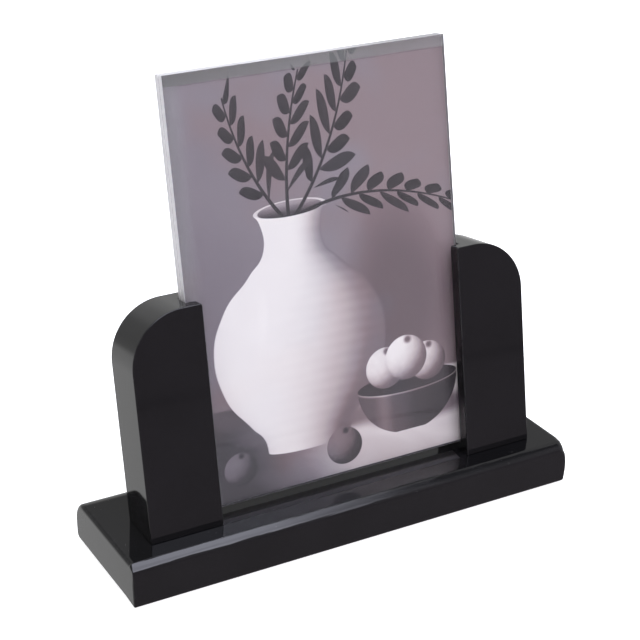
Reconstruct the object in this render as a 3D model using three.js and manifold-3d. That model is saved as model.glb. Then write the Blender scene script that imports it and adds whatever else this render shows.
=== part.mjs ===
// Free-standing acrylic photo frame: a black base block, two black slotted
// uprights that lean back, and two loose clear sheets with a print between them.
// Millimetres, +Z up, X along the base, the picture faces -Y.
// Origin: centre of the bounding box on the surface the feet stand on.
import * as THREE from 'three';
import { mergeVertices } from 'three/addons/utils/BufferGeometryUtils.js';
import Module from 'manifold-3d';

// ---------------------------------------------------------------- dimensions
// picture stack
const PANE_W = 127;            // 5 in
const PANE_H = 177.8;          // 7 in
const SHEET_T = 2.9;           // each clear sheet
const PRINT_T = 0.25;          // heavy photo paper
const LAYER_GAP = 0.15;        // air between the layers
const PRINT_INSET = 0.3;       // print is a hair smaller than the sheets
const PANE_RAISE = 4.3;        // lower edge of the sheets above the base, along the lean
// lean back of the uprights, and of the loose stack inside their wider slots
const POST_LEAN = THREE.MathUtils.degToRad(8.6);
const STACK_LEAN = THREE.MathUtils.degToRad(9.6);
// base block
const BASE_L = 209;
const BASE_D = 62.2;
const BASE_H = 19.05;          // 3/4 in sheet
// front top edge, a broken chamfer: radius of each arc and its slope from and to, in degrees
const BASE_FRONT_TOP = [[1.2, 0, 28], [7, 28, 58], [2.2, 58, 90]];
const BASE_R_BACK_TOP = 10;    // round-over along the back top edge
const BASE_R_FRONT_LOW = 0.9;  // lower front edge, barely eased
const BASE_R_BACK_LOW = 3.5;   // lower back edge
const BASE_R_END_TOP = 2.0;    // upper edges of the end faces
const BASE_R_END_LOW = 1.6;    // lower edges of the end faces
const FRONT_TO_PANE = 17.25;   // base front to the picture plane, measured on the base top
// uprights
const POST_W = 31.9;
const POST_T = 22.3;
const POST_TOP = 93.2;          // top above the base, along the lean
const POST_R = 23;             // outer top corner
const POST_INNER_X = 59.3;     // inner faces of the pair
const POST_EASE = 0.4;         // front and back edges
const POST_INNER_R = 0.9;      // inner top corner
const FRONT_FACE = 5.7;        // front of the uprights ahead of the picture plane, at the base
const SLOT_CLEAR = 0.3;        // in front of, behind and below the stack where it bears
const SLOT_DEPTH = 4.6;        // into each upright
const SEAM = 0.3;              // upright to base
// screws
const SCREW_HEAD_R = 4.0;
const SCREW_RIM = 0.4;
const SCREW_R = 2.0;
const SCREW_L = 32;
const SCREW_SINK = 0.5;        // head below the underside
const SCREW_CLEAR = 0.3;
const SCREW_X = [70, 83.5];    // inner and outer screw of each upright
const SCREW_FROM_PANE = 7.0;   // behind the picture plane
// feet
const FOOT_R = 6;
const FOOT_T = 0.75;
const FOOT_X = 90;
const FOOT_Y = 20;

// derived
const STACK = 2 * SHEET_T + PRINT_T + 2 * LAYER_GAP;
const BASE_TOP = FOOT_T + BASE_H;
const PIVOT_Y = -BASE_D / 2 + FRONT_TO_PANE;   // picture plane on the base top
const SLOT_FLOOR = PANE_RAISE - SLOT_CLEAR - 0.1;
// the stack bears on the slot's front wall low down and on its back wall at the top
const SLOT_BACK = STACK + POST_TOP * Math.tan(STACK_LEAN - POST_LEAN) + SLOT_CLEAR;

// ---------------------------------------------------------------- solid tools
const wasm = await Module();
wasm.setup();

function solid(geometry) {
  const g = geometry.clone();
  g.deleteAttribute('normal');
  g.deleteAttribute('uv');
  const m = mergeVertices(g, 1e-4);
  return new wasm.Manifold(new wasm.Mesh({
    numProp: 3,
    vertProperties: new Float32Array(m.attributes.position.array),
    triVerts: new Uint32Array(m.index.array),
  }));
}

function geometryOf(manifold) {
  const m = manifold.getMesh();
  const g = new THREE.BufferGeometry();
  g.setAttribute('position', new THREE.BufferAttribute(new Float32Array(m.vertProperties), 3));
  g.setIndex(new THREE.BufferAttribute(new Uint32Array(m.triVerts), 1));
  g.computeVertexNormals();
  return g;
}

function box(x0, x1, y0, y1, z0, z1) {
  return new THREE.BoxGeometry(x1 - x0, y1 - y0, z1 - z0)
    .translate((x0 + x1) / 2, (y0 + y1) / 2, (z0 + z1) / 2);
}

// a lathe profile of [radius, height] pairs, turned about Z
function turned(profile, segments) {
  return new THREE.LatheGeometry(profile.map(([r, h]) => new THREE.Vector2(r, h)), segments)
    .rotateX(Math.PI / 2);
}

// ---------------------------------------------------------------- materials
const blackAcrylic = () => new THREE.MeshStandardMaterial({ color: 0x0c0c0e, roughness: 0.06, metalness: 0 });
const clearAcrylic = () => new THREE.MeshStandardMaterial({
  color: 0xe9eef0, roughness: 0.03, metalness: 0, transparent: true, opacity: 0.25,
});
const paper = () => new THREE.MeshStandardMaterial({ color: 0x8d828e, roughness: 0.45, metalness: 0 });
const steel = () => new THREE.MeshStandardMaterial({ color: 0xa9abad, roughness: 0.35, metalness: 1 });
const rubber = () => new THREE.MeshStandardMaterial({ color: 0x1b1b1b, roughness: 0.8, metalness: 0 });

const frame = new THREE.Group();
function leaningGroup(angle) {
  const g = new THREE.Group();
  g.position.set(0, PIVOT_Y, BASE_TOP);
  g.rotation.x = -angle;
  frame.add(g);
  return g;
}
const posts = leaningGroup(POST_LEAN);
const stack = leaningGroup(STACK_LEAN);

function put(parent, name, geometry, material) {
  const mesh = new THREE.Mesh(geometry, material);
  mesh.name = name;
  parent.add(mesh);
  return mesh;
}

// ---------------------------------------------------------------- screws
const screwBody = solid(turned([
  [0, 0],
  [SCREW_HEAD_R, 0],
  [SCREW_HEAD_R, SCREW_RIM],
  [SCREW_R, SCREW_RIM + SCREW_HEAD_R - SCREW_R],
  [SCREW_R, SCREW_L - 1.2],
  [SCREW_R - 0.9, SCREW_L],
  [0, SCREW_L],
], 24));
const crossRecess = solid(box(-2.1, 2.1, -0.45, 0.45, -1, 1.4))
  .add(solid(box(-0.45, 0.45, -2.1, 2.1, -1, 1.4)));
const screw = geometryOf(screwBody.subtract(crossRecess));

const c = SCREW_CLEAR;
const screwHole = turned([
  [0, -4],
  [SCREW_HEAD_R + c, -4],
  [SCREW_HEAD_R + c, SCREW_RIM + 0.12],
  [SCREW_R + c, SCREW_RIM + 0.12 + SCREW_HEAD_R - SCREW_R],
  [SCREW_R + c, SCREW_L + 0.5],
  [0, SCREW_L + 0.5],
], 24);
const SCREW_Y = PIVOT_Y + SCREW_FROM_PANE;
const SCREW_Z = FOOT_T + SCREW_SINK;
const screwSpots = [
  ['screw_left_outer', -SCREW_X[1]],
  ['screw_left_inner', -SCREW_X[0]],
  ['screw_right_inner', SCREW_X[0]],
  ['screw_right_outer', SCREW_X[1]],
];

// ---------------------------------------------------------------- base block
// end profile in (y, z), counter-clockwise, then drawn along X
const yF = -BASE_D / 2;
const yB = BASE_D / 2;
const z0 = FOOT_T;
const z1 = BASE_TOP;
const profile = new THREE.Shape();
profile.moveTo(yF + BASE_R_FRONT_LOW, z0);
profile.lineTo(yB - BASE_R_BACK_LOW, z0);
profile.absarc(yB - BASE_R_BACK_LOW, z0 + BASE_R_BACK_LOW, BASE_R_BACK_LOW, -Math.PI / 2, 0, false);
profile.absarc(yB - BASE_R_BACK_TOP, z1 - BASE_R_BACK_TOP, BASE_R_BACK_TOP, 0, Math.PI / 2, false);
const deg = THREE.MathUtils.degToRad;
let edgeY = yF + BASE_FRONT_TOP.reduce((sum, [r, a, b]) => sum + r * (Math.sin(deg(b)) - Math.sin(deg(a))), 0);
let edgeZ = z1;
for (const [r, a, b] of BASE_FRONT_TOP) {
  const cy = edgeY + r * Math.sin(deg(a));
  const cz = edgeZ - r * Math.cos(deg(a));
  profile.absarc(cy, cz, r, Math.PI / 2 + deg(a), Math.PI / 2 + deg(b), false);
  edgeY = cy - r * Math.sin(deg(b));
  edgeZ = cz + r * Math.cos(deg(b));
}
profile.absarc(yF + BASE_R_FRONT_LOW, z0 + BASE_R_FRONT_LOW, BASE_R_FRONT_LOW, Math.PI, Math.PI * 1.5, false);
const alongX = new THREE.Matrix4().makeBasis(
  new THREE.Vector3(0, 1, 0), new THREE.Vector3(0, 0, 1), new THREE.Vector3(1, 0, 0));
let base = solid(new THREE.ExtrudeGeometry(profile, {
  depth: BASE_L,
  curveSegments: 9,
  bevelEnabled: false,
}).applyMatrix4(alongX).translate(-BASE_L / 2, 0, 0));
// the waste outside an eased end edge, in (x, z), drawn front to back
const alongY = new THREE.Matrix4().makeBasis(
  new THREE.Vector3(1, 0, 0), new THREE.Vector3(0, 0, 1), new THREE.Vector3(0, -1, 0));
function endWaste(r, edgeZ, up) {
  const waste = new THREE.Shape();
  waste.moveTo(BASE_L / 2 + 2, -2);
  waste.lineTo(BASE_L / 2 + 2, r + 2);
  waste.lineTo(BASE_L / 2, r);
  waste.absarc(BASE_L / 2 - r, r, r, 0, -Math.PI / 2, true);
  waste.lineTo(BASE_L / 2 - r - 2, -2);
  const w = solid(new THREE.ExtrudeGeometry(waste, { depth: BASE_D + 4, curveSegments: 6, bevelEnabled: false })
    .applyMatrix4(alongY).translate(0, BASE_D / 2 + 2, 0));
  return (up ? w.mirror([0, 0, 1]) : w).translate([0, 0, edgeZ]);
}
for (const waste of [endWaste(BASE_R_END_TOP, z1, true), endWaste(BASE_R_END_LOW, z0, false)]) {
  base = base.subtract(waste).subtract(waste.mirror([1, 0, 0]));
}
for (const [, x] of screwSpots) {
  base = base.subtract(solid(screwHole.clone().translate(x, SCREW_Y, SCREW_Z)));
}
put(frame, 'base_block', geometryOf(base), blackAcrylic());

// ---------------------------------------------------------------- uprights
// outline in (x, height) with the round corner on the outside, drawn front to back
function upright(side) {
  const xi = POST_INNER_X;
  const xo = POST_INNER_X + POST_W;
  const low = -12;
  const outline = new THREE.Shape();
  outline.moveTo(xi, low);
  outline.lineTo(xo, low);
  outline.absarc(xo - POST_R, POST_TOP - POST_R, POST_R, 0, Math.PI / 2, false);
  outline.absarc(xi + POST_INNER_R, POST_TOP - POST_INNER_R, POST_INNER_R, Math.PI / 2, Math.PI, false);
  outline.lineTo(xi, low);
  const body = new THREE.ExtrudeGeometry(outline, {
    depth: POST_T - 2 * POST_EASE,
    curveSegments: 14,
    bevelEnabled: true,
    bevelThickness: POST_EASE,
    bevelSize: POST_EASE,
    bevelOffset: -POST_EASE,
    bevelSegments: 2,
  }).rotateX(Math.PI / 2).translate(0, POST_T - FRONT_FACE - POST_EASE, 0);

  let post = solid(body);
  // foot cut level with the base top
  post = post.subtract(solid(box(0, 200, -100, 100, -100, SEAM).rotateX(POST_LEAN)));
  // slot for the stack, open at the top, stopped above the base
  post = post.subtract(solid(box(xi - 5, xi + SLOT_DEPTH, -SLOT_CLEAR, SLOT_BACK, SLOT_FLOOR, POST_TOP + 20)));
  // pilot holes of the two screws, upright in space
  for (const x of SCREW_X) {
    post = post.subtract(solid(
      screwHole.clone().translate(x, SCREW_Y - PIVOT_Y, SCREW_Z - BASE_TOP).rotateX(POST_LEAN)));
  }
  return side > 0 ? post : post.mirror([1, 0, 0]);
}
put(posts, 'left_upright', geometryOf(upright(-1)), blackAcrylic());
put(posts, 'right_upright', geometryOf(upright(1)), blackAcrylic());

// ---------------------------------------------------------------- picture stack
// layers from the front backwards, each standing on the slot floors
const h0 = PANE_RAISE;
const h1 = PANE_RAISE + PANE_H;
const hx = PANE_W / 2;
put(stack, 'front_pane', box(-hx, hx, 0, SHEET_T, h0, h1), clearAcrylic());
const yPrint = SHEET_T + LAYER_GAP;
put(stack, 'photo_print',
  box(-hx + PRINT_INSET, hx - PRINT_INSET, yPrint, yPrint + PRINT_T, h0, h1 - 2 * PRINT_INSET), paper());
const yBack = yPrint + PRINT_T + LAYER_GAP;
put(stack, 'back_pane', box(-hx, hx, yBack, yBack + SHEET_T, h0, h1), clearAcrylic());

// ---------------------------------------------------------------- screws in place
for (const [name, x] of screwSpots) {
  put(frame, name, screw.clone(), steel()).position.set(x, SCREW_Y, SCREW_Z);
}

// ---------------------------------------------------------------- feet
const foot = turned([
  [0, 0],
  [FOOT_R - 0.4, 0],
  [FOOT_R, 0.4],
  [FOOT_R, FOOT_T],
  [0, FOOT_T],
], 32);
for (const [name, sx, sy] of [
  ['foot_front_left', -1, -1],
  ['foot_front_right', 1, -1],
  ['foot_back_left', -1, 1],
  ['foot_back_right', 1, 1],
]) {
  put(frame, name, foot.clone(), rubber()).position.set(sx * FOOT_X, sy * FOOT_Y, 0);
}

export default frame;
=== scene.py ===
import math

import bmesh
import bpy
from mathutils import Matrix, Vector


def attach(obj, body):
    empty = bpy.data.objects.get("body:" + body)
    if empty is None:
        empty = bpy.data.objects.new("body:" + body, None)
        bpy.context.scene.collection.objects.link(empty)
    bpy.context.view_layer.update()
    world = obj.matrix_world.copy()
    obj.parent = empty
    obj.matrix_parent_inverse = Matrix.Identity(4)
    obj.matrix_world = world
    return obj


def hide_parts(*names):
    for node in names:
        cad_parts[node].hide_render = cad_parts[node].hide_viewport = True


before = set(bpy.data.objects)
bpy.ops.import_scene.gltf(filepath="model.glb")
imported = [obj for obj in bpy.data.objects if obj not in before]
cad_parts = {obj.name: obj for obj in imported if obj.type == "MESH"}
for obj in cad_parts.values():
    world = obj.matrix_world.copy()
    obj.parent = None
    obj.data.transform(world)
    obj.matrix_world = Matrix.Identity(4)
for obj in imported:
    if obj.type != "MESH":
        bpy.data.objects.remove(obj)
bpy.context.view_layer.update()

scene = bpy.context.scene

# ---------------------------------------------------------------- sizes, in millimetres
MM = 0.001
PIVOT_Y, BASE_TOP = -13.85, 19.8           # where the leaning parts turn off the base's top
POST_LEAN, STACK_LEAN = math.radians(8.6), math.radians(9.6)

PANE_W, PANE_LOW, PANE_HIGH, SHEET_T = 127.0, 4.3, 182.1, 2.9
PRINT_HALF, PRINT_HIGH = 63.42, 181.5
PRINT_Y = (3.05, 3.30)
BACK_Y = (3.45, 6.35)

BASE_L, BASE_D, BASE_LOW = 209.0, 62.2, 0.75
BASE_FRONT_TOP = ((1.2, 0, 28), (7.0, 28, 58), (2.2, 58, 90))   # radius, slope from and to
BASE_R_BACK_TOP = 10.0
BASE_R_BACK_LOW, BASE_R_FRONT_LOW = 3.5, 0.9

POST_IN, POST_OUT, POST_TOP, POST_R = 59.3, 91.2, 93.2, 23.0
POST_FRONT, POST_BACK = -5.7, 16.6
SLOT_X, SLOT_Y, SLOT_FLOOR = 63.9, (-0.3, 8.28), 3.9
SEAM = 0.06                                # glue line between an upright's foot and the base

SCREW_Y, SCREW_Z, SCREW_L = -6.85, 1.25, 32.0
SCREWS = {"screw_left_outer": -83.5, "screw_left_inner": -70.0,
          "screw_right_inner": 70.0, "screw_right_outer": 83.5}
FEET = {"foot_front_left": (-90.0, -20.0), "foot_front_right": (90.0, -20.0),
        "foot_back_left": (-90.0, 20.0), "foot_back_right": (90.0, 20.0)}


def lean(angle):
    """From a leaning part's own axes (y through the sheets, z up the lean) to the row frame, in millimetres."""
    return Matrix.Translation((0, PIVOT_Y, BASE_TOP)) @ Matrix.Rotation(-angle, 4, "X")


# ---------------------------------------------------------------- mesh helpers
def arc(ca, cb, r, start, end, n):
    return [(ca + r * math.cos(math.radians(start + (end - start) * i / n)),
             cb + r * math.sin(math.radians(start + (end - start) * i / n))) for i in range(n + 1)]


def to_object(bm, name):
    me = bpy.data.meshes.new(name)
    bm.to_mesh(me)
    bm.free()
    ob = bpy.data.objects.new(name, me)
    scene.collection.objects.link(ob)
    return ob


def settled(ob):
    """ob's mesh with its modifiers applied. ob itself is taken away."""
    bpy.context.view_layer.update()
    dg = bpy.context.evaluated_depsgraph_get()
    me = bpy.data.meshes.new_from_object(ob.evaluated_get(dg), preserve_all_data_layers=True, depsgraph=dg)
    old = ob.data
    bpy.data.objects.remove(ob)
    bpy.data.meshes.remove(old)
    return me


def cut(ob, *cutters):
    """ob's mesh less the cutters, which are taken away."""
    for c in cutters:
        mod = ob.modifiers.new("cut", "BOOLEAN")
        mod.operation, mod.solver, mod.object = "DIFFERENCE", "EXACT", c
    me = settled(ob)
    for c in cutters:
        data = c.data
        bpy.data.objects.remove(c)
        bpy.data.meshes.remove(data)
    return me


def prism(outline, low, high, place):
    """A closed prism. place(a, b, t) puts an outline point (a, b) at the end t of the sweep."""
    bm = bmesh.new()
    ends = [[bm.verts.new(place(a, b, t)) for a, b in outline] for t in (low, high)]
    n = len(outline)
    bm.faces.new(ends[0])
    bm.faces.new(ends[1][::-1])
    for i in range(n):
        j = (i + 1) % n
        bm.faces.new((ends[0][i], ends[1][i], ends[1][j], ends[0][j]))
    bmesh.ops.recalc_face_normals(bm, faces=bm.faces)
    return bm


def block(x, y, z):
    bm = bmesh.new()
    bmesh.ops.create_cube(bm, size=1.0)
    for v in bm.verts:
        v.co = Vector((x[v.co.x > 0], y[v.co.y > 0], z[v.co.z > 0]))
    bmesh.ops.recalc_face_normals(bm, faces=bm.faces)
    return bm


def turned(profile, n):
    """A closed body of revolution about z. The profile's ends are on the axis."""
    bm = bmesh.new()
    rings = []
    for r, z in profile:
        if r < 1e-6:
            rings.append([bm.verts.new((0, 0, z))])
        else:
            rings.append([bm.verts.new((r * math.cos(2 * math.pi * i / n), r * math.sin(2 * math.pi * i / n), z))
                          for i in range(n)])
    for a, b in zip(rings, rings[1:]):
        for i in range(n):
            j = (i + 1) % n
            ring = [a[i % len(a)], a[j % len(a)], b[j % len(b)], b[i % len(b)]]
            face = list(dict.fromkeys(ring))
            if len(face) > 2:
                bm.faces.new(face)
    bmesh.ops.recalc_face_normals(bm, faces=bm.faces)
    return bm


def eased(me, width_of, segments=4):
    """Rounds the edges that width_of(edge) gives a width in millimetres, and marks the new faces."""
    bm = bmesh.new()
    bm.from_mesh(me)
    bpy.data.meshes.remove(me)
    bmesh.ops.dissolve_degenerate(bm, edges=bm.edges, dist=1e-5)
    bm.normal_update()
    layer = bm.edges.layers.float.get("bevel_weight_edge") or bm.edges.layers.float.new("bevel_weight_edge")
    widths = {e.index: width_of(e) for e in bm.edges}
    most = max(widths.values())
    for e in bm.edges:
        e[layer] = widths[e.index] / most
    ob = to_object(bm, "easing")
    ob.data.materials.append(None)
    ob.data.materials.append(None)
    mod = ob.modifiers.new("ease", "BEVEL")
    mod.limit_method, mod.width, mod.segments = "WEIGHT", most, segments
    mod.material, mod.miter_outer, mod.use_clamp_overlap = 1, "MITER_SHARP", False
    mod.loop_slide = True
    return settled(ob)


def sharp(e, least=25.0):
    return len(e.link_faces) == 2 and e.is_convex and math.degrees(e.calc_face_angle(0)) > least


def mark(me, name, domain, values, kind="FLOAT"):
    made = me.attributes.new(name, kind, domain)
    made.data.foreach_set("vector" if kind == "FLOAT_VECTOR" else "value", values)


def finished(me, name, node, body, material, place=None):
    """Turns a mesh in its own axes, in millimetres, into the piece that stands for a CAD node."""
    mark(me, "eased", "FACE", [float(p.material_index == 1) for p in me.polygons])
    mark(me, "rim", "FACE", [float(abs(p.normal.y) < 0.8) for p in me.polygons])
    mark(me, "facing", "FACE", [float(p.normal.y < -0.8) for p in me.polygons])
    mark(me, "spot", "POINT", [c for v in me.vertices for c in v.co], "FLOAT_VECTOR")
    for p in me.polygons:
        p.material_index, p.use_smooth = 0, True
    me.materials.clear()
    me.materials.append(material)
    me.transform(Matrix.Scale(MM, 4) @ (place or Matrix()))
    me.name = name
    ob = bpy.data.objects.new(name, me)
    scene.collection.objects.link(ob)
    mod = ob.modifiers.new("normals", "WEIGHTED_NORMAL")
    mod.mode, mod.weight, mod.keep_sharp = "FACE_AREA", 60, False
    bpy.context.view_layer.update()
    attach(ob, body)
    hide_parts(node)
    return ob


# ---------------------------------------------------------------- node helpers
class Nodes:
    """Adds nodes in the order they are worked out, so that a long chain stays short in memory."""

    def __init__(self, tree):
        self.tree = tree
        tree.nodes.clear()

    def add(self, kind, ins=None, **props):
        node = self.tree.nodes.new("ShaderNode" + kind)
        for k, v in props.items():
            setattr(node, k, v)
        for k, v in (ins or {}).items():
            self.put(node.inputs[k], v)
        return node

    def put(self, socket, value):
        if isinstance(value, bpy.types.NodeSocket):
            self.tree.links.new(value, socket)
        elif hasattr(socket.default_value, "__len__") and not hasattr(value, "__len__"):
            socket.default_value = [value] * len(socket.default_value)
        else:
            socket.default_value = value

    def math(self, op, *args, clamp=False):
        node = self.add("Math", operation=op, use_clamp=clamp)
        for s, v in zip(node.inputs, args):
            self.put(s, v)
        return node.outputs[0]

    def vec(self, op, *args):
        node = self.add("VectorMath", operation=op)
        for s, v in zip(node.inputs, args):
            self.put(s, v)
        return node.outputs["Value" if op in ("DOT_PRODUCT", "LENGTH", "DISTANCE") else "Vector"]

    def step(self, value, low, high, out_low=0.0, out_high=1.0, smooth=True):
        node = self.add("MapRange", interpolation_type="SMOOTHSTEP" if smooth else "LINEAR", clamp=True)
        for s, v in zip(node.inputs, (value, low, high, out_low, out_high)):
            self.put(s, v)
        return node.outputs[0]

    def mix(self, fac, a, b):
        node = self.add("Mix", data_type="FLOAT", clamp_factor=True)
        for s, v in zip((node.inputs[0], node.inputs[2], node.inputs[3]), (fac, a, b)):
            self.put(s, v)
        return node.outputs[0]

    def tint(self, fac, a, b, blend="MIX"):
        node = self.add("Mix", data_type="RGBA", blend_type=blend, clamp_factor=True)
        for s, v in zip((node.inputs[0], node.inputs[6], node.inputs[7]), (fac, a, b)):
            self.put(s, v)
        return node.outputs[2]

    def ramp(self, fac, stops, mode="LINEAR"):
        node = self.add("ValToRGB", {"Fac": fac})
        node.color_ramp.interpolation = mode
        els = node.color_ramp.elements
        while len(els) < len(stops):
            els.new(0.5)
        for e, (at, colour) in zip(els, stops):
            e.position = at
            e.color = (*colour, 1.0) if hasattr(colour, "__len__") else (colour, colour, colour, 1.0)
        return node.outputs["Color"]

    def noise(self, at, scale, detail=2.0, rough=0.5, distort=0.0, out="Fac"):
        return self.add("TexNoise", {"Vector": at, "Scale": scale, "Detail": detail, "Roughness": rough,
                                     "Distortion": distort}).outputs[out]

    def spot(self):
        return self.add("Attribute", attribute_name="spot").outputs["Vector"]

    def flag(self, name):
        return self.add("Attribute", attribute_name=name).outputs["Fac"]

    def placed(self, at, loc=(0, 0, 0), rot=0.0, scale=(1, 1, 1), rot_axis="Z"):
        turn = {"X": (rot, 0, 0), "Y": (0, rot, 0), "Z": (0, 0, rot)}[rot_axis]
        return self.add("Mapping", {"Vector": at, "Location": loc, "Rotation": turn, "Scale": scale},
                        vector_type="TEXTURE").outputs[0]

    def split(self, at):
        node = self.add("SeparateXYZ", {"Vector": at})
        return node.outputs[0], node.outputs[1], node.outputs[2]


def material(name):
    mat = bpy.data.materials.new(name)
    mat.use_nodes = True
    return mat, Nodes(mat.node_tree)


def lin(*rgb):
    """Linear colour of 8-bit display values."""
    return tuple(c / 12.92 if c <= 0.04045 else ((c + 0.055) / 1.055) ** 2.4 for c in (v / 255 for v in rgb))


# ---------------------------------------------------------------- black acrylic
def black_acrylic():
    mat, n = material("black_acrylic")
    at = n.spot()
    soft = n.noise(at, 0.028, 3.0, 0.55)
    fine = n.noise(at, 0.9, 4.0, 0.6)
    # hairline scratches: two sets of long thin streaks, mostly along the length
    wear = n.noise(at, 0.05, 2.0, 0.5)
    lines = None
    for turn, size, seed in ((0.16, 34.0, 3.1), (-0.42, 22.0, 11.7)):
        shear = n.placed(at, (seed, seed * 2, seed * 3), turn, (size, 0.16, 0.16))
        streak = n.noise(shear, 1.0, 1.0, 0.5)
        hair = n.step(n.math("ABSOLUTE", n.math("SUBTRACT", streak, 0.52)), 0.006, 0.0)
        lines = hair if lines is None else n.math("MAXIMUM", lines, hair)
    lines = n.math("MULTIPLY", lines, n.step(wear, 0.47, 0.66))
    # dust that settles on faces that look up
    up = n.split(n.add("NewGeometry").outputs["Normal"])[2]
    cells = n.add("TexVoronoi", {"Vector": at, "Scale": 0.42, "Randomness": 1.0}, feature="F1")
    size = n.math("MULTIPLY", n.split(cells.outputs["Color"])[0], 0.11)
    speck = n.math("LESS_THAN", cells.outputs["Distance"], n.math("SUBTRACT", size, 0.052))
    dust = n.math("MULTIPLY", speck, n.step(up, 0.2, 0.9, 0.12, 1.0))
    edge = n.flag("eased")
    rub = n.math("MULTIPLY", edge, n.step(n.noise(at, 0.35, 3.0, 0.6), 0.42, 0.7))
    colour = n.ramp(soft, [(0.3, (0.0030, 0.0030, 0.0034)), (0.7, (0.0052, 0.0050, 0.0056))])
    colour = n.tint(n.math("MULTIPLY", rub, 0.35), colour, (0.020, 0.020, 0.021, 1))
    # painted highlight: the uprights' inner front edges get a lighter line, and are rougher there
    x, y, z = n.split(at)
    inner_edge_highlight = n.math("MULTIPLY", edge, n.step(n.math("ABSOLUTE", x), POST_IN + 0.9, POST_IN + 0.6))
    inner_edge_highlight = n.math("MULTIPLY", inner_edge_highlight, n.math("MULTIPLY", n.step(y, POST_FRONT + 0.8, POST_FRONT + 0.5), n.step(y, POST_FRONT - 0.5, POST_FRONT - 0.2)))
    inner_edge_highlight = n.math("MULTIPLY", inner_edge_highlight, n.step(n.noise(at, 0.12, 2.0, 0.5), 0.30, 0.60, 0.45, 1.0))
    colour = n.tint(inner_edge_highlight, colour, (0.016, 0.016, 0.016, 1))
    colour = n.tint(n.math("MULTIPLY", lines, 0.18), colour, (0.030, 0.030, 0.031, 1))
    colour = n.tint(n.math("MULTIPLY", dust, 0.55), colour, (0.42, 0.41, 0.39, 1))
    rough = n.mix(soft, 0.020, 0.052)
    rough = n.math("ADD", rough, n.math("MULTIPLY", fine, 0.022))
    rough = n.math("ADD", rough, n.math("MULTIPLY", rub, 0.10))
    rough = n.math("ADD", rough, n.math("MULTIPLY", inner_edge_highlight, 0.32))
    rough = n.math("ADD", rough, n.math("MULTIPLY", lines, 0.16))
    rough = n.math("ADD", rough, n.math("MULTIPLY", dust, 0.5), clamp=True)
    # polished cast sheet is never quite flat: a slow ripple under the scratches
    ripple = n.noise(at, 0.045, 2.0, 0.4)
    height = n.math("MULTIPLY", ripple, 0.030)
    height = n.math("SUBTRACT", height, n.math("MULTIPLY", lines, 0.0016))
    # the broken front edge of the base is buffed by hand, in long uneven strokes
    front = n.math("MULTIPLY", n.step(y, -25.5, -27.6), n.step(z, 13.0, 15.5))
    strokes = n.noise(n.placed(at, (7.3, 1.9, 4.4), 0.03, (46.0, 2.6, 2.6)), 1.0, 3.0, 0.55)
    height = n.math("ADD", height, n.math("MULTIPLY", n.math("SUBTRACT", strokes, 0.5), n.math("MULTIPLY", front, 0.16)))
    height = n.math("ADD", height, n.math("MULTIPLY", dust, 0.02))
    bump = n.add("Bump", {"Strength": 1.0, "Distance": MM, "Height": height})
    shader = n.add("BsdfPrincipled", {"Base Color": colour, "Roughness": rough, "IOR": 1.49,
                                      "Normal": bump.outputs[0]})
    n.add("OutputMaterial", {"Surface": shader.outputs[0]})
    return mat


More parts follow.
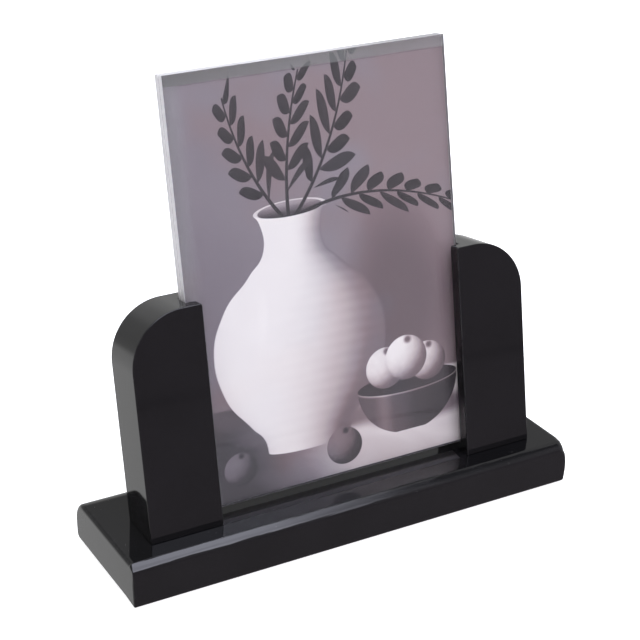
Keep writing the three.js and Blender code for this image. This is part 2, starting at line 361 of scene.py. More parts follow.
# ---------------------------------------------------------------- clear acrylic
def clear_acrylic(name, veiled):
    mat, n = material(name)
    at = n.spot()
    x, _, h = n.split(at)
    rim = n.math("MULTIPLY", n.flag("rim"), n.step(h, PANE_LOW + 0.05, PANE_LOW + 0.6))
    sawn = n.math("SUBTRACT", n.flag("rim"), rim)
    smudge = n.noise(at, 0.035, 4.0, 0.6)
    cast = n.noise(n.placed(at, (0, 0, 0), 0.0, (1.0, 1.0, 6.0)), 2.2, 3.0, 0.6)
    rough = n.step(smudge, 0.5, 0.75, 0.0, 0.035)
    rough = n.mix(rim, rough, n.mix(cast, 0.22, 0.42))
    rough = n.mix(sawn, rough, n.mix(cast, 0.75, 0.95))
    clear = n.mix(rim, 0.985, n.mix(cast, 0.14, 0.26))
    colour = n.tint(rim, (0.985, 0.992, 0.990, 1), n.ramp(cast, [(0.3, (0.93, 0.92, 0.90)), (0.7, (0.99, 0.98, 0.96))]))
    # painted shade: the frosted edge faces are darker towards the right, and darker still along the right edge
    rim_right_shade = n.math("MULTIPLY", n.step(x, 0.0, 45.0, 1.0, 0.55), n.step(x, PANE_W / 2 - 0.7, PANE_W / 2 - 0.3, 1.0, 0.5))
    colour = n.tint(rim, colour, n.tint(1.0, colour, rim_right_shade, "MULTIPLY"))
    if veiled:
        # painted light: a faint neutral grey veil along the sheet's top and left margins, lighter towards the right,
        # stands in for the glow the polished edge carries inwards
        from_top = n.math("SUBTRACT", PANE_HIGH, h)
        from_left = n.math("ADD", x, PANE_W / 2)
        wobble = n.math("MULTIPLY", n.math("SUBTRACT", n.noise(at, 0.06, 2.0, 0.5), 0.5), 0.9)
        top = n.step(n.math("ADD", from_top, wobble), 5.2, 4.7)
        left = n.step(n.math("ADD", from_left, wobble), 9.5, 1.0, 0.0, 0.55)
        edge_glow_paint = n.math("MULTIPLY", n.math("MAXIMUM", top, left), n.math("SUBTRACT", 1.0, rim))
        # painted shadow: a thin darker line across the sheet about 5 mm below its top edge
        line = n.step(n.math("ABSOLUTE", n.math("SUBTRACT", n.math("ADD", from_top, wobble), 5.1)), 0.40, 0.08, 0.0, 0.5)
        line = n.math("MULTIPLY", line, n.step(from_left, 4.0, 9.0))
        line = n.math("MULTIPLY", line, n.math("SUBTRACT", 1.0, rim))
        clear = n.math("SUBTRACT", clear, n.math("MULTIPLY", edge_glow_paint, 0.16))
        along = n.math("DIVIDE", from_left, PANE_W)
        grey = n.ramp(along, [(0.0, (0.44, 0.455, 0.43)), (0.5, (0.52, 0.53, 0.505)), (1.0, (0.60, 0.605, 0.59))])
        colour = n.tint(edge_glow_paint, colour, grey)
        colour = n.tint(line, colour, (0.42, 0.40, 0.41, 1))
    wave = n.math("MULTIPLY", n.noise(at, 0.03, 1.0, 0.4), 0.012)
    wave = n.math("ADD", wave, n.math("MULTIPLY", n.math("MULTIPLY", cast, rim), 0.05))
    bump = n.add("Bump", {"Strength": 1.0, "Distance": MM, "Height": wave})
    shader = n.add("BsdfPrincipled", {"Base Color": colour, "Roughness": rough, "IOR": 1.49,
                                      "Transmission Weight": clear, "Normal": bump.outputs[0]})
    # light on its way to the paper passes straight through
    path = n.add("LightPath")
    through = n.math("MAXIMUM", path.outputs["Is Shadow Ray"], path.outputs["Is Diffuse Ray"])
    through = n.math("MULTIPLY", through, n.math("SUBTRACT", 1.0, n.math("MULTIPLY", rim, 0.6)))
    clearing = n.add("BsdfTransparent", {"Color": (0.93, 0.94, 0.94, 1)})
    both = n.add("MixShader", {0: through, 1: shader.outputs[0], 2: clearing.outputs[0]})
    # the sawn lower edge: light that comes down inside the sheet leaves it scattered; seen from inside the sheet the
    # edge is painted near-black, a painted shadow for the dark gap at the sheet's foot
    glow = n.add("BsdfTranslucent", {"Color": n.ramp(cast, [(0.3, (0.48, 0.45, 0.46)), (0.7, (0.58, 0.55, 0.56))])})
    inner_gap_shade = n.add("BsdfDiffuse", {"Color": n.ramp(cast, [(0.3, (0.018, 0.017, 0.018)), (0.7, (0.035, 0.033, 0.034))])})
    cutedge = n.add("MixShader", {0: n.add("NewGeometry").outputs["Backfacing"], 1: glow.outputs[0], 2: inner_gap_shade.outputs[0]})
    whole = n.add("MixShader", {0: sawn, 1: both.outputs[0], 2: cutedge.outputs[0]})
    n.add("OutputMaterial", {"Surface": whole.outputs[0]})
    return mat


# ---------------------------------------------------------------- the print: a still life in mauve greys
def sprig(n, p, tone, foot, angle, bend, length, pitch, leaf, seed, slant=0.95):
    """Paints one leafy sprig over tone. p is in millimetres on the paper, foot its lower end."""
    local = n.placed(p, (*foot, 0), angle)
    u, v, _ = n.split(local)
    v = n.math("SUBTRACT", v, n.math("MULTIPLY", n.math("MULTIPLY", u, u), bend))
    side = n.math("LESS_THAN", v, 0.0)
    off = n.math("ABSOLUTE", v)
    cell = n.math("ADD", n.math("DIVIDE", n.math("SUBTRACT", u, n.math("MULTIPLY", off, slant)), pitch),
                  n.math("MULTIPLY", side, 0.5))
    which = n.math("ADD", n.math("FLOOR", cell), n.math("MULTIPLY", side, 57.0))
    luck = n.add("TexWhiteNoise", {"W": n.math("ADD", which, seed)}, noise_dimensions="1D").outputs["Value"]
    across = n.math("SUBTRACT", n.math("FRACT", cell), n.mix(luck, 0.44, 0.56))
    grow = n.step(u, 0.0, length, 1.0, 0.42, smooth=False)
    along = n.math("DIVIDE", off, n.math("MULTIPLY", n.math("MULTIPLY", n.mix(luck, 0.72, 1.12), leaf), grow))
    half = n.math("MULTIPLY", n.math("MULTIPLY", along, n.math("SUBTRACT", 1.0, along)), 1.62)
    inside = n.step(n.math("SUBTRACT", half, n.math("ABSOLUTE", across)), 0.0, 0.03)
    inside = n.math("MULTIPLY", inside, n.math("LESS_THAN", along, 1.0))
    reach = n.math("SUBTRACT", u, n.math("MULTIPLY", off, slant))
    inside = n.math("MULTIPLY", inside, n.math("MULTIPLY", n.math("GREATER_THAN", reach, length * 0.16),
                                               n.math("LESS_THAN", reach, length)))
    rib = n.step(n.math("ABSOLUTE", across), 0.05, 0.0, 0.0, 0.07)
    lit = n.math("MULTIPLY", n.math("GREATER_THAN", across, 0.0), 0.05)
    shade = n.math("ADD", n.math("ADD", n.mix(luck, 0.02, 0.12), lit), rib)
    tone = n.mix(inside, tone, shade)
    stem = n.math("MULTIPLY", n.step(off, n.math("MULTIPLY", grow, 0.95), n.math("MULTIPLY", grow, 0.6)),
                  n.math("MULTIPLY", n.math("GREATER_THAN", u, -4.0), n.math("LESS_THAN", u, length * 1.02)))
    return n.mix(stem, tone, 0.09)


def ball(n, p, tone, centre, r, dark, light, seed):
    """Paints one round fruit, lit from the upper left."""
    local = n.placed(p, (*centre, 0), 0.0, (r, r * 0.96, 1))
    x, y, _ = n.split(local)
    d = n.vec("LENGTH", n.add("CombineXYZ", {"X": x, "Y": y}).outputs[0])
    z = n.math("SQRT", n.math("MAXIMUM", n.math("SUBTRACT", 1.0, n.math("MULTIPLY", d, d)), 0.0))
    face = n.math("ADD", n.math("MULTIPLY", z, 0.62), n.math("ADD", n.math("MULTIPLY", x, -0.48), n.math("MULTIPLY", y, 0.46)))
    bloom = n.math("MULTIPLY", n.math("SUBTRACT", n.noise(n.placed(p, (seed, seed, 0)), 0.35, 3.0, 0.6), 0.5), 0.12)
    shade = n.math("ADD", n.step(face, -0.25, 0.95, dark, light), bloom)
    dimple = n.vec("DISTANCE", local, (0.12, 0.78, 0.0))
    shade = n.math("MULTIPLY", shade, n.step(dimple, 0.04, 0.26, 0.45, 1.0))
    return n.mix(n.step(d, 1.0, 0.97), tone, shade)


def print_paper():
    mat, n = material("print_paper")
    at = n.spot()
    sx, _, sh = n.split(at)
    p = n.add("CombineXYZ", {"X": sx, "Y": n.math("SUBTRACT", sh, PANE_LOW)}).outputs[0]
    x, y, _ = n.split(p)

    # mottled backdrop, darker low on the left
    cloud = n.noise(n.placed(p, (13, 5, 2)), 0.022, 4.0, 0.55, 0.4)
    slope = n.math("ADD", n.math("MULTIPLY", y, 0.0031), n.math("MULTIPLY", x, 0.0036))
    slope = n.math("ADD", slope, n.math("MULTIPLY", n.math("SUBTRACT", cloud, 0.5), 0.42))
    tone = n.step(slope, -0.32, 0.55, 0.45, 0.54)

    # cloth-covered table, its far edge soft
    edge = n.math("ADD", n.math("MULTIPLY", x, -0.035), n.math("MULTIPLY", n.noise(p, 0.03, 1.0, 0.5), 2.0))
    deep = n.math("SUBTRACT", n.math("ADD", 37.0, edge), y)
    fold = n.noise(n.placed(p, (3, 9, 0), -0.35, (2.6, 1.0, 1.0)), 0.055, 2.0, 0.5, 0.6)
    top = n.math("ADD", n.step(x, -52.0, 26.0, 0.25, 0.93), n.math("MULTIPLY", n.math("SUBTRACT", fold, 0.5), 0.34))
    top = n.math("MULTIPLY", top, n.step(deep, 0.0, 44.0, 1.06, 0.86))
    tone = n.mix(n.step(deep, -0.6, 0.9), tone, top)
    for cx, cy, rx, ry, much in ((4.0, 24.0, 44.0, 8.5, 0.45), (44.0, 19.0, 36.0, 7.5, 0.5)):
        d = n.vec("LENGTH", n.placed(p, (cx, cy, 0), 0.0, (rx, ry, 1)))
        d = n.math("ADD", d, n.math("MULTIPLY", n.math("SUBTRACT", fold, 0.5), 0.3))
        tone = n.math("MULTIPLY", tone, n.step(d, 0.25, 1.0, 1.0 - much, 1.0))

    # the vase throws a broad shadow on the backdrop
    d = n.vec("LENGTH", n.placed(p, (34.0, 70.0, 0), 0.0, (28.0, 52.0, 1)))
    tone = n.math("MULTIPLY", tone, n.step(d, 0.35, 1.05, 0.74, 1.0))

    vx, foot, lip = -13.0, 17.0, 117.0
    # mouth of the vase
    d = n.vec("LENGTH", n.placed(p, (vx, lip, 0), 0.0, (16.8, 3.8, 1)))
    tone = n.mix(n.step(d, 1.0, 0.97), tone, n.step(y, lip - 2.5, lip + 3.0, 0.24, 0.62))
    tone = n.mix(n.math("MULTIPLY", n.step(d, 1.0, 0.99), n.step(d, 0.86, 0.9)), tone, 0.86)

    tone = sprig(n, p, tone, (vx + 3.0, lip - 2.0), math.radians(50), 0.0042, 66.0, 9.5, 19.0, 3.0)
    tone = sprig(n, p, tone, (vx - 4.0, lip - 2.0), math.radians(128), -0.0050, 52.0, 8.5, 16.0, 19.0)
    tone = sprig(n, p, tone, (vx + 7.0, lip - 2.0), math.radians(16), -0.0062, 66.0, 8.5, 16.0, 41.0)
    tone = sprig(n, p, tone, (vx - 1.0, lip - 2.0), math.radians(90), -0.0030, 56.0, 9.0, 15.0, 77.0)

    # white vase: a turned profile shaded as a round body
    t = n.math("DIVIDE", n.math("SUBTRACT", y, foot), lip - foot)
    curve = n.add("FloatCurve", {"Value": t})
    line = curve.mapping.curves[0]
    spots = [(0.0, 0.47), (0.05, 0.49), (0.12, 0.62), (0.30, 0.90), (0.46, 0.955), (0.62, 0.82), (0.76, 0.50), (0.87, 0.315), (0.95, 0.335), (1.0, 0.40)]
    while len(line.points) < len(spots):
        line.points.new(0.5, 0.5)
    for point, (a, b) in zip(line.points, spots):
        point.location = (a, b)
    curve.mapping.update()
    r = n.math("MULTIPLY", curve.outputs[0], 42.0)
    q = n.math("DIVIDE", n.math("SUBTRACT", x, vx), r)
    bulge = n.math("SQRT", n.math("MAXIMUM", n.math("SUBTRACT", 1.0, n.math("MULTIPLY", q, q)), 0.0))
    ring = n.math("MULTIPLY", n.math("SINE", n.math("ADD", n.math("MULTIPLY", y, 1.35), n.math("MULTIPLY", bulge, -2.0))), 0.012)
    slopeup = n.math("MULTIPLY", n.math("SUBTRACT", t, 0.36), 0.42)
    face = n.math("ADD", n.math("ADD", n.math("MULTIPLY", q, -0.56), n.math("MULTIPLY", bulge, 0.64)), n.math("ADD", slopeup, ring))
    glaze = n.math("MULTIPLY", n.math("SUBTRACT", n.noise(p, 0.12, 3.0, 0.6), 0.5), 0.05)
    shade = n.math("ADD", n.step(face, -0.42, 0.92, 0.36, 0.985), glaze)
    back = n.step(q, 0.72, 1.0, 0.0, 0.10)
    shade = n.math("ADD", shade, back)
    glint = n.vec("LENGTH", n.placed(p, (vx - 17.0, foot + 56.0, 0), math.radians(-8), (3.0, 16.0, 1)))
    shade = n.math("ADD", shade, n.step(glint, 1.0, 0.2, 0.0, 0.07))
    low = n.math("SUBTRACT", foot, n.math("MULTIPLY", bulge, 2.6))
    high = n.math("SUBTRACT", lip, n.math("MULTIPLY", bulge, 3.0))
    body = n.math("MULTIPLY", n.step(n.math("ABSOLUTE", q), 1.0, 0.985),
                  n.math("MULTIPLY", n.math("GREATER_THAN", y, low), n.math("LESS_THAN", y, high)))
    tone = n.mix(body, tone, shade)

    # dark bowl with pale fruit
    bx, by = 36.0, 33.0
    d = n.vec("LENGTH", n.placed(p, (bx, by, 0), 0.0, (25.0, 4.6, 1)))
    tone = n.mix(n.step(d, 1.0, 0.98), tone, 0.20)
    tone = ball(n, p, tone, (25.5, 41.0), 9.6, 0.40, 0.96, 5.0)
    tone = ball(n, p, tone, (46.5, 40.0), 9.2, 0.36, 0.92, 8.0)
    tone = ball(n, p, tone, (36.0, 43.5), 10.4, 0.42, 1.0, 2.0)
    local = n.placed(p, (bx, by, 0), 0.0, (25.0, 23.0, 1))
    lx, ly, _ = n.split(local)
    d = n.vec("LENGTH", local)
    wide = n.math("SQRT", n.math("MAXIMUM", n.math("SUBTRACT", 1.0, n.math("MULTIPLY", lx, lx)), 0.0))
    front = n.math("SUBTRACT", by, n.math("MULTIPLY", wide, 4.6))
    shape = n.math("MULTIPLY", n.step(d, 1.0, 0.985), n.math("MULTIPLY", n.math("LESS_THAN", y, front), n.math("GREATER_THAN", y, 11.2)))
    sheen = n.math("ADD", n.math("MULTIPLY", lx, -0.5), n.math("MULTIPLY", wide, 0.55))
    sheen = n.math("ADD", n.step(sheen, 0.1, 0.86, 0.13, 0.36), n.step(n.math("ABSOLUTE", n.math("ADD", lx, 0.50)), 0.24, 0.0, 0.0, 0.13))
    sheen = n.math("ADD", sheen, n.step(n.math("SUBTRACT", front, y), 1.1, 0.0, 0.0, 0.30))
    tone = n.mix(shape, tone, sheen)
    tone = ball(n, p, tone, (3.0, 11.5), 8.6, 0.16, 0.50, 13.0)
    tone = ball(n, p, tone, (-46.0, 13.0), 7.6, 0.14, 0.44, 23.0)

    # film grain, then the mauve toning of the print
    grain = n.noise(p, 5.5, 2.0, 0.7)
    tone = n.math("ADD", tone, n.math("MULTIPLY", n.math("SUBTRACT", grain, 0.5), 0.055), clamp=True)
    drift = n.noise(n.placed(p, (40, 7, 0)), 0.018, 2.0, 0.5)
    cool = n.ramp(tone, [(0.0, (0.009, 0.008, 0.009)), (0.25, (0.046, 0.040, 0.045)), (0.5, (0.216, 0.182, 0.203)),
                         (0.75, (0.57, 0.505, 0.505)), (1.0, (0.94, 0.88, 0.83))])
    warm = n.ramp(tone, [(0.0, (0.011, 0.008, 0.008)), (0.25, (0.050, 0.037, 0.039)), (0.5, (0.222, 0.154, 0.161)),
                         (0.75, (0.59, 0.49, 0.475)), (1.0, (0.945, 0.875, 0.82))])
    lean_warm = n.math("ADD", drift, n.step(x, -45.0, 45.0, -0.08, 0.14))
    picture = n.tint(n.step(lean_warm, 0.42, 0.60), cool, warm)

    # plain white back with a faint fibre
    fibre = n.noise(n.placed(at, (0, 0, 0), 0.5, (1, 1, 3)), 1.1, 4.0, 0.65)
    white = n.ramp(fibre, [(0.3, (0.74, 0.735, 0.72)), (0.7, (0.80, 0.795, 0.78))])
    colour = n.tint(n.flag("facing"), white, picture)
    rough = n.mix(n.noise(at, 0.25, 2.0, 0.5), 0.34, 0.46)
    bump = n.add("Bump", {"Strength": 0.35, "Distance": MM, "Height": n.math("MULTIPLY", fibre, 0.02)})
    shader = n.add("BsdfPrincipled", {"Base Color": colour, "Roughness": rough, "IOR": 1.45, "Specular IOR Level": 0.25,
                                      "Normal": bump.outputs[0]})
    n.add("OutputMaterial", {"Surface": shader.outputs[0]})
    return mat


# ---------------------------------------------------------------- zinc-plated steel and bumper rubber
def screw_steel():
    mat, n = material("screw_steel")
    at = n.spot()
    turn = n.noise(n.placed(at, (0, 0, 0), 0.0, (1, 1, 0.25)), 2.4, 4.0, 0.65)
    blotch = n.noise(at, 0.55, 3.0, 0.6)
    colour = n.ramp(blotch, [(0.3, (0.42, 0.43, 0.45)), (0.55, (0.58, 0.58, 0.57)), (0.8, (0.66, 0.64, 0.58))])
    grime = n.step(n.noise(at, 0.9, 5.0, 0.7), 0.56, 0.74)
    colour = n.tint(n.math("MULTIPLY", grime, 0.5), colour, (0.20, 0.19, 0.18, 1))
    rough = n.math("ADD", n.mix(turn, 0.24, 0.44), n.math("MULTIPLY", grime, 0.2), clamp=True)
    bump = n.add("Bump", {"Strength": 0.4, "Distance": MM, "Height": n.math("MULTIPLY", turn, 0.03)})
    shader = n.add("BsdfPrincipled", {"Base Color": colour, "Roughness": rough, "Metallic": 1.0, "Normal": bump.outputs[0]})
    n.add("OutputMaterial", {"Surface": shader.outputs[0]})
    return mat


def foot_rubber():
    mat, n = material("foot_rubber")
    at = n.spot()
    pebble = n.noise(at, 3.2, 3.0, 0.6)
    wear = n.noise(at, 0.4, 3.0, 0.6)
    colour = n.ramp(wear, [(0.3, (0.016, 0.016, 0.016)), (0.62, (0.030, 0.029, 0.028)), (0.8, (0.060, 0.058, 0.054))])
    rough = n.mix(pebble, 0.62, 0.86)
    bump = n.add("Bump", {"Strength": 0.5, "Distance": MM, "Height": n.math("MULTIPLY", pebble, 0.05)})
    shader = n.add("BsdfPrincipled", {"Base Color": colour, "Roughness": rough, "IOR": 1.52, "Normal": bump.outputs[0]})
    n.add("OutputMaterial", {"Surface": shader.outputs[0]})
    return mat


BLACK = black_acrylic()
CLEAR_FRONT, CLEAR_BACK = clear_acrylic("clear_acrylic_front", True), clear_acrylic("clear_acrylic_back", False)
PAPER, STEEL, RUBBER = print_paper(), screw_steel(), foot_rubber()


# ---------------------------------------------------------------- base
def screw_hole():
    return turned([(0, -4), (4.3, -4), (4.3, 0.52), (2.3, 2.52), (2.3, SCREW_L + 0.5), (0, SCREW_L + 0.5)], 48)


def make_base():
    f, b, lo, hi = -BASE_D / 2, BASE_D / 2, BASE_LOW, BASE_TOP
    rk, rb, rf = BASE_R_BACK_TOP, BASE_R_BACK_LOW, BASE_R_FRONT_LOW
    # the cross-section: (y, z, and for the left and the right end how far it is eased there and where to)
    line = []

    def spot(y, z, out, softs, cores=(0.0, 0.0)):
        ends = []
        for soft, core in zip(softs, cores):
            if core:
                r = max(0.0, core - soft)
                ends.append((soft, f + core + r * out[0], hi - core + r * out[1]))
            else:
                ends.append((soft, y - out[0] * soft, z - out[1] * soft))
        line.append((y, z, ends))

    def curve(cy, cz, r, start, end, n, soft_a, soft_b, cores=(0.0, 0.0)):
        for i in range(n + 1):
            k = i / n
            t = math.radians(start + (end - start) * k)
            k = k * k * (3 - 2 * k)
            spot(cy + r * math.cos(t), cz + r * math.sin(t), (math.cos(t), math.sin(t)),
                 [a + (c - a) * k for a, c in zip(soft_a, soft_b)], cores)
        return cy + r * math.cos(t), cz + r * math.sin(t)
    curve(f + rf, lo + rf, rf, 180, 270, 6, (0.8, 1.5), (0.8, 1.5))
    for k in range(1, 6):
        spot(f + rf + (9 - rf) * k / 6, lo, (0, -1), (0.8 + 0.8 * k / 6, 1.5 + 0.1 * k / 6))
    spot(f + 9, lo, (0, -1), (1.6, 1.6))
    curve(b - rb, lo + rb, rb, -90, 0, 14, (1.6, 1.6), (2.2, 2.2))
    curve(b - rk, hi - rk, rk, 0, 90, 44, (2.2, 2.2), (2.1, 2.1))
    for y, left, right in ((-8.0, 2.1, 2.1), (-19.0, 2.1, 2.1), (-23.5, 2.1, 2.1)):
        spot(y, hi, (0, 1), (left, right))
    ey = f + sum(r * (math.sin(math.radians(c)) - math.sin(math.radians(a))) for r, a, c in BASE_FRONT_TOP)
    ez = hi
    softs = [(2.0, 3.2), (1.4, 3.8), (0.6, 3.8), (0.45, 3.4)]
    for (r, a, c), n, sa, sb in zip(BASE_FRONT_TOP, (10, 22, 12), softs, softs[1:]):
        ey, ez = curve(ey + r * math.sin(math.radians(a)), ez - r * math.cos(math.radians(a)), r, 90 + a, 90 + c, n, sa, sb, (4.0, 5.0))
    for z, left, right in ((14.2, 0.5, 1.7), (13.0, 0.8, 1.1), (11.5, 1.1, 0.7), (10.0, 1.15, 0.45), (8.0, 1.15, 0.45),
                           (6.0, 1.1, 0.6), (4.0, 1.0, 1.0), (2.6, 0.85, 1.35)):
        spot(f, z, (-1, 0), (left, right))

    bm = bmesh.new()
    steps = 7
    sides = []
    for which, way in ((0, -1), (1, 1)):
        rings = []
        for k in range(steps + 1):
            t = math.pi / 2 * k / steps
            ring = []
            for y, z, ends in line:
                soft, iy, iz = ends[which]
                ring.append(bm.verts.new((way * (BASE_L / 2 - soft * (1 - math.cos(t))),
                                          iy + (y - iy) * math.sin(t), iz + (z - iz) * math.sin(t))))
            rings.append(ring)
        sides.append(rings)

    def bridge(one, two, index):
        for i in range(len(one)):
            j = (i + 1) % len(one)
            bm.faces.new((one[i], one[j], two[j], two[i])).material_index = index
    for rings in sides:
        bm.faces.new(rings[0])
        for one, two in zip(rings, rings[1:]):
            bridge(one, two, 1)
    bridge(sides[0][-1], sides[1][-1], 0)
    bmesh.ops.recalc_face_normals(bm, faces=bm.faces)
    ob = to_object(bm, "base")
    ob.data.materials.append(None)
    ob.data.materials.append(None)
    holes = []
    for x in SCREWS.values():
        hole = to_object(screw_hole(), "hole")
        hole.location = (x, SCREW_Y, SCREW_Z)
        holes.append(hole)
    finished(cut(ob, *holes), "base_plinth", "base_block", "stand", BLACK)


# ---------------------------------------------------------------- uprights
def make_upright(name, node, side):
    tilt = lean(POST_LEAN)
    back = tilt.inverted()

    def foot(y):
        return (SEAM + y * math.sin(POST_LEAN)) / math.cos(POST_LEAN)
    outline = [(POST_IN, None), (POST_OUT, None)]
    outline += arc(POST_OUT - POST_R, POST_TOP - POST_R, POST_R, 0, 90, 56)
    outline += arc(POST_IN + 0.9, POST_TOP - 0.9, 0.9, 90, 180, 6)
    bm = prism(outline, POST_FRONT, POST_BACK, lambda a, c, t: (side * a, t, foot(t) if c is None else c))
    ob = to_object(bm, "post")
    xs = sorted((side * (POST_IN - 5), side * SLOT_X))
    slot = to_object(block(xs, SLOT_Y, (SLOT_FLOOR, 130.0)), "slot")
    holes = []
    for x in SCREWS.values():
        if x * side > 0:
            hole = screw_hole()
            bmesh.ops.transform(hole, matrix=back @ Matrix.Translation((x, SCREW_Y, SCREW_Z)), verts=hole.verts)
            holes.append(to_object(hole, "hole"))
    me = cut(ob, slot, *holes)

    def width(e):
        if not sharp(e):
            return 0.0
        a, c = (v.co for v in e.verts)
        mid = (a + c) / 2
        x = mid.x * side
        if any(f.normal.z < -0.5 for f in e.link_faces):           # round the foot
            on_hole = all(abs((tilt @ v).y - SCREW_Y) < 3 and POST_IN + 3 < v.x * side < POST_OUT - 3 for v in (a, c))
            return 0.0 if on_hole else 0.35
        if SLOT_Y[0] - 0.01 <= mid.y <= SLOT_Y[1] + 0.01 and x < SLOT_X + 0.01:
            return 0.25
        return 0.38
    me = eased(me, width, 4)
    finished(me, name, node, "stand", BLACK, tilt)


# ---------------------------------------------------------------- sheets and print
def make_sheet(name, node, body, y, mat):
    bm = block((-PANE_W / 2, PANE_W / 2), y, (PANE_LOW, PANE_HIGH))
    me = bpy.data.meshes.new("sheet")
    bm.to_mesh(me)
    bm.free()
    me = eased(me, lambda e: 0.28, 3)
    finished(me, name, node, body, mat, lean(STACK_LEAN))


def make_print():
    corner = 0.5
    lo, hi = PANE_LOW, PRINT_HIGH
    outline = []
    for cx, cz, start in ((PRINT_HALF, lo, -90), (PRINT_HALF, hi, 0), (-PRINT_HALF, hi, 90), (-PRINT_HALF, lo, 180)):
        outline += arc(cx - math.copysign(corner, cx), cz + (corner if cz == lo else -corner), corner, start, start + 90, 5)
    bm = prism(outline, PRINT_Y[0], PRINT_Y[1], lambda a, c, t: (a, t, c))
    me = bpy.data.meshes.new("paper")
    bm.to_mesh(me)
    bm.free()
    me = eased(me, lambda e: 0.04 if abs(e.verts[0].co.y - e.verts[1].co.y) < 0.01 else 0.0, 2)
    finished(me, "print_card", "photo_print", "print", PAPER, lean(STACK_LEAN))


# ---------------------------------------------------------------- screws and feet
def make_screw(name, x):
    pitch, crest, root = 1.25, 2.2, 1.62
    around, per = 28, 10
    head = [(0, 0), (3.72, 0), (3.92, 0.08), (4.0, 0.25), (4.0, 0.4), (2.35, 2.05), (2.05, 2.5), (1.95, 3.2)]
    bm = bmesh.new()
    rings = []
    for r, z in head:
        rings.append([bm.verts.new((0, 0, z))] if r == 0 else
                     [bm.verts.new((r * math.cos(2 * math.pi * i / around), r * math.sin(2 * math.pi * i / around), z))
                      for i in range(around)])
    start, tip = 5.0, SCREW_L - 3.5
    rows = int((SCREW_L - 0.4 - 3.4) / pitch * per)
    for k in range(rows + 1):
        z = 3.4 + (SCREW_L - 0.4 - 3.4) * k / rows
        point = 1.0 if z < tip else max(0.12, 1 - (z - tip) / (SCREW_L - tip))
        rise = min(1.0, max(0.0, (z - 4.0) / (start - 4.0) if z < start else 1.0))
        ring = []
        for i in range(around):
            turn = (z / pitch - i / around) % 1.0
            tooth = max(0.0, 1 - abs(turn - 0.5) / 0.34)
            plain = 1.95 + (root - 1.95) * rise
            r = (plain + (crest - root) * tooth * rise) * point
            ring.append(bm.verts.new((r * math.cos(2 * math.pi * i / around), r * math.sin(2 * math.pi * i / around), z)))
        rings.append(ring)
    rings.append([bm.verts.new((0, 0, SCREW_L))])
    for a, b in zip(rings, rings[1:]):
        for i in range(around):
            j = (i + 1) % around
            face = list(dict.fromkeys([a[i % len(a)], a[j % len(a)], b[j % len(b)], b[i % len(b)]]))
            bm.faces.new(face)
    bmesh.ops.recalc_face_normals(bm, faces=bm.faces)
    ob = to_object(bm, "screw")
    # cross recess: two tapered wings
    cutters = []
    for turn in (0, 90):
        c = block((-2.3, 2.3), (-0.52, 0.52), (-1.0, 1.7))
        for v in c.verts:
            if v.co.z > 0:
                v.co.x *= 0.42
                v.co.y *= 0.75
        bmesh.ops.rotate(c, cent=(0, 0, 0), matrix=Matrix.Rotation(math.radians(turn + 20), 3, "Z"), verts=c.verts)
        cutters.append(to_object(c, "wing"))
    me = cut(ob, *cutters)
    finished(me, name.replace("screw", "csk_screw"), name, "stand", STEEL, Matrix.Translation((x, SCREW_Y, SCREW_Z)))


def make_foot(name, x, y):
    profile = [(0, 0.0), (5.0, 0.0)]
    profile += [(5.45 + 0.35 * math.sin(math.radians(a)), 0.35 - 0.35 * math.cos(math.radians(a))) for a in range(0, 91, 15)]
    profile += [(5.9, 0.5), (5.98, 0.61), (6.0, 0.67), (5.97, 0.74), (0, 0.74)]
    me = bpy.data.meshes.new("foot")
    bm = turned(profile, 64)
    bm.to_mesh(me)
    bm.free()
    finished(me, name.replace("foot", "bumper"), name, "stand", RUBBER, Matrix.Translation((x, y, 0)))


make_base()
make_upright("left_post", "left_upright", -1)
make_upright("right_post", "right_upright", 1)
make_sheet("front_sheet_clear", "front_pane", "front_sheet", (0.0, SHEET_T), CLEAR_FRONT)
make_sheet("back_sheet_clear", "back_pane", "back_sheet", BACK_Y, CLEAR_BACK)
make_print()
for screw, sx in SCREWS.items():
    make_screw(screw, sx)
for foot_name, (fx, fy) in FEET.items():
    make_foot(foot_name, fx, fy)


# ---------------------------------------------------------------- floor
def make_floor():
    bm = bmesh.new()
    bmesh.ops.create_circle(bm, cap_ends=True, radius=6.0, segments=96)
    ob = to_object(bm, "floor")
    mat, n = material("floor_white")
    soft = n.noise(n.add("TexCoord").outputs["Object"], 3.0, 3.0, 0.5)
    colour = n.ramp(soft, [(0.3, (0.84, 0.84, 0.84)), (0.7, (0.86, 0.86, 0.86))])
    shader = n.add("BsdfDiffuse", {"Color": colour})
    glow = n.add("Emission", {"Color": (1, 1, 1, 1), "Strength": n.math("MULTIPLY", n.add("LightPath").outputs["Is Camera Ray"], 0.86)})
    both = n.add("AddShader", {0: shader.outputs[0], 1: glow.outputs[0]})
    n.add("OutputMaterial", {"Surface": both.outputs[0]})
    ob.data.materials.append(mat)
    ob.visible_glossy = False
    ob.visible_transmission = False


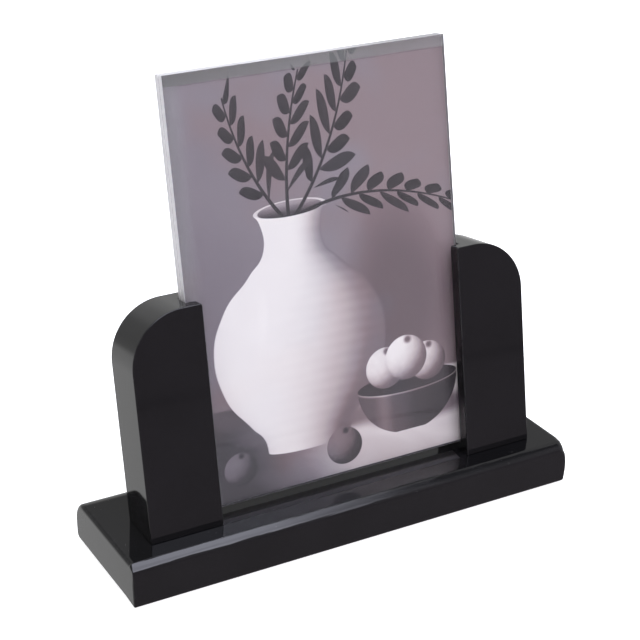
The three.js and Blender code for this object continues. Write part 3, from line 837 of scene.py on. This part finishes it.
# ---------------------------------------------------------------- studio light: one soft lamp in front, pale walls round it
def make_world():
    world = bpy.data.worlds.new("studio")
    scene.world = world
    world.use_nodes = True
    n = Nodes(world.node_tree)
    way = n.add("TexCoord").outputs["Generated"]
    x, y, z = n.split(way)
    el = n.math("ADD", n.math("DIVIDE", n.math("ARCSINE", z), math.pi), 0.5)
    az = n.math("ABSOLUTE", n.math("ARCTAN2", x, y))

    def at(deg):
        return (deg + 90) / 180
    behind = n.ramp(el, [(at(-60), 0.80), (at(-20), 0.84), (at(-8), 0.72), (at(0), 0.56), (at(8), 0.62), (at(16), 0.67),
                         (at(24), 0.44), (at(30), 0.37), (at(42), 0.52), (at(56), 0.68), (at(63), 0.60), (at(70), 0.15)])
    left = n.ramp(el, [(at(-60), 0.72), (at(-34), 0.72), (at(-24), 0.86), (at(-10), 0.88), (at(-5), 0.46), (at(2), 0.41),
                       (at(18), 0.46), (at(26), 0.40), (at(34), 0.34), (at(42), 0.50), (at(56), 0.66), (at(70), 0.15)])
    ahead = n.ramp(el, [(at(-60), (0.37, 0.34, 0.365)), (at(-30), (0.36, 0.325, 0.355)), (at(0), (0.325, 0.285, 0.325)),
                        (at(20), (0.44, 0.41, 0.45)), (at(32), (0.50, 0.48, 0.52)), (at(44), (0.34, 0.34, 0.36)),
                        (at(50), (0.17, 0.17, 0.18)), (at(75), (0.13, 0.13, 0.14))])
    # far edge of the table, seen as a thin line in upright black faces
    brink = n.step(n.math("ABSOLUTE", n.math("SUBTRACT", el, at(-11.1))), 0.0006, 0.0002, 1.0, 0.45)
    ahead = n.tint(1.0, ahead, brink, "MULTIPLY")
    room = n.tint(n.step(n.math("ARCTAN2", x, y), math.radians(-2), math.radians(-14)), behind, left)
    room = n.tint(n.step(az, math.radians(103), math.radians(111)), room, ahead)
    # the lamp: a tall soft box ahead, a little to the right
    rise = n.math("ARCTAN2", z, n.math("MULTIPLY", y, -1.0))
    spread = n.math("MULTIPLY", n.step(rise, math.radians(33), math.radians(38)), n.step(rise, math.radians(93), math.radians(87)))
    spread = n.math("MULTIPLY", spread, n.math("MULTIPLY", n.step(x, 0.49, 0.36, 0.0, 1.0), n.step(x, -0.36, -0.26)))
    seam = n.step(n.math("ABSOLUTE", n.math("SUBTRACT", rise, math.radians(52))), math.radians(9), math.radians(4), 1.0, 0.84)
    spread = n.math("MULTIPLY", spread, seam)
    lamp = n.tint(1.0, spread, (4.4, 4.45, 5.2, 1), "MULTIPLY")
    light = n.tint(1.0, room, lamp, "ADD")
    seen = n.tint(n.add("LightPath").outputs["Is Camera Ray"], light, (1.0, 1.0, 1.0, 1))
    back = n.add("Background", {"Color": seen, "Strength": 1.0})
    n.add("OutputWorld", {"Surface": back.outputs[0]})


make_floor()
make_world()

# ---------------------------------------------------------------- camera
AZ, EL = math.radians(28.99), math.radians(24.46)
cam = bpy.data.cameras.new("camera")
cam.lens, cam.sensor_width, cam.sensor_fit = 93.75, 36.0, "AUTO"
cam.clip_start, cam.clip_end = 0.01, 50
eye = bpy.data.objects.new("camera", cam)
scene.collection.objects.link(eye)
eye.location = (-0.30728, -0.54769, 0.37606)
look = Vector((math.sin(AZ) * math.cos(EL), math.cos(AZ) * math.cos(EL), -math.sin(EL)))
eye.rotation_euler = look.to_track_quat("-Z", "Y").to_euler()
scene.camera = eye

scene.view_settings.view_transform = "Standard"
scene.view_settings.look = "None"
scene.cycles.use_denoising = True
scene.cycles.max_bounces = 16
scene.cycles.transmission_bounces = 14
scene.cycles.glossy_bounces = 8
scene.cycles.sample_clamp_indirect = 8.0
